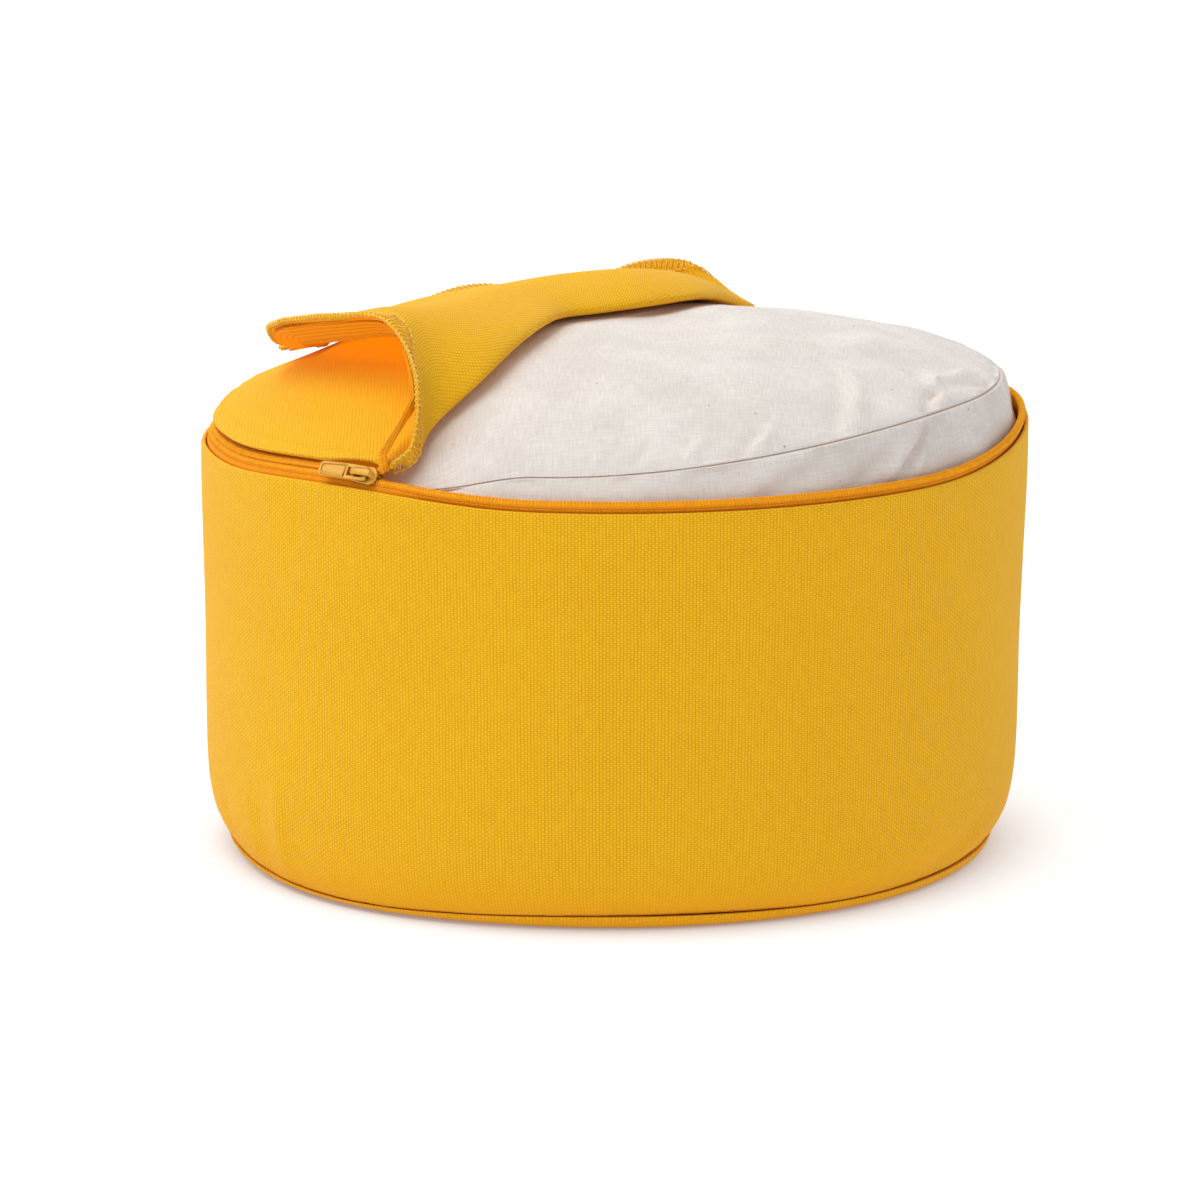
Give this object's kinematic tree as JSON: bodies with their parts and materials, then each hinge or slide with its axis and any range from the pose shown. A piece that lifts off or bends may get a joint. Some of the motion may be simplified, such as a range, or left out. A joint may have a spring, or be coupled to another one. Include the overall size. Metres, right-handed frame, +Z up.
{
  "type": "yoga cushion",
  "caption": "Round drum-shaped meditation cushion: filled cloth inner in a canvas cover whose zipped top is peeled back and rolled over the rest.",
  "frame": {"origin": "centre of the flat underside that the cushion rests on", "axes": "+Z up, along the drum's axis; +Y from the side seen from the front, which is -Y, to the back; +X to the right"},
  "size_m": [0.3303, 0.33, 0.2273],
  "materials": {
    "yellow_canvas": "coarse plain-weave canvas",
    "natural_calico": "undyed plain-weave calico with flecks",
    "orange_tape": "woven zip tape with a sewn coil",
    "ochre_metal": "satin enamel"
  },
  "bodies": {
    "root": {"inner_cushion": "natural_calico", "side_wall": "yellow_canvas", "base_panel": "yellow_canvas", "top_panel": "yellow_canvas", "zip_tape_lower": "orange_tape", "zip_tape_upper": "orange_tape", "zip_slider": "ochre_metal", "zip_puller": "ochre_metal"}
  },
  "joints": []
}
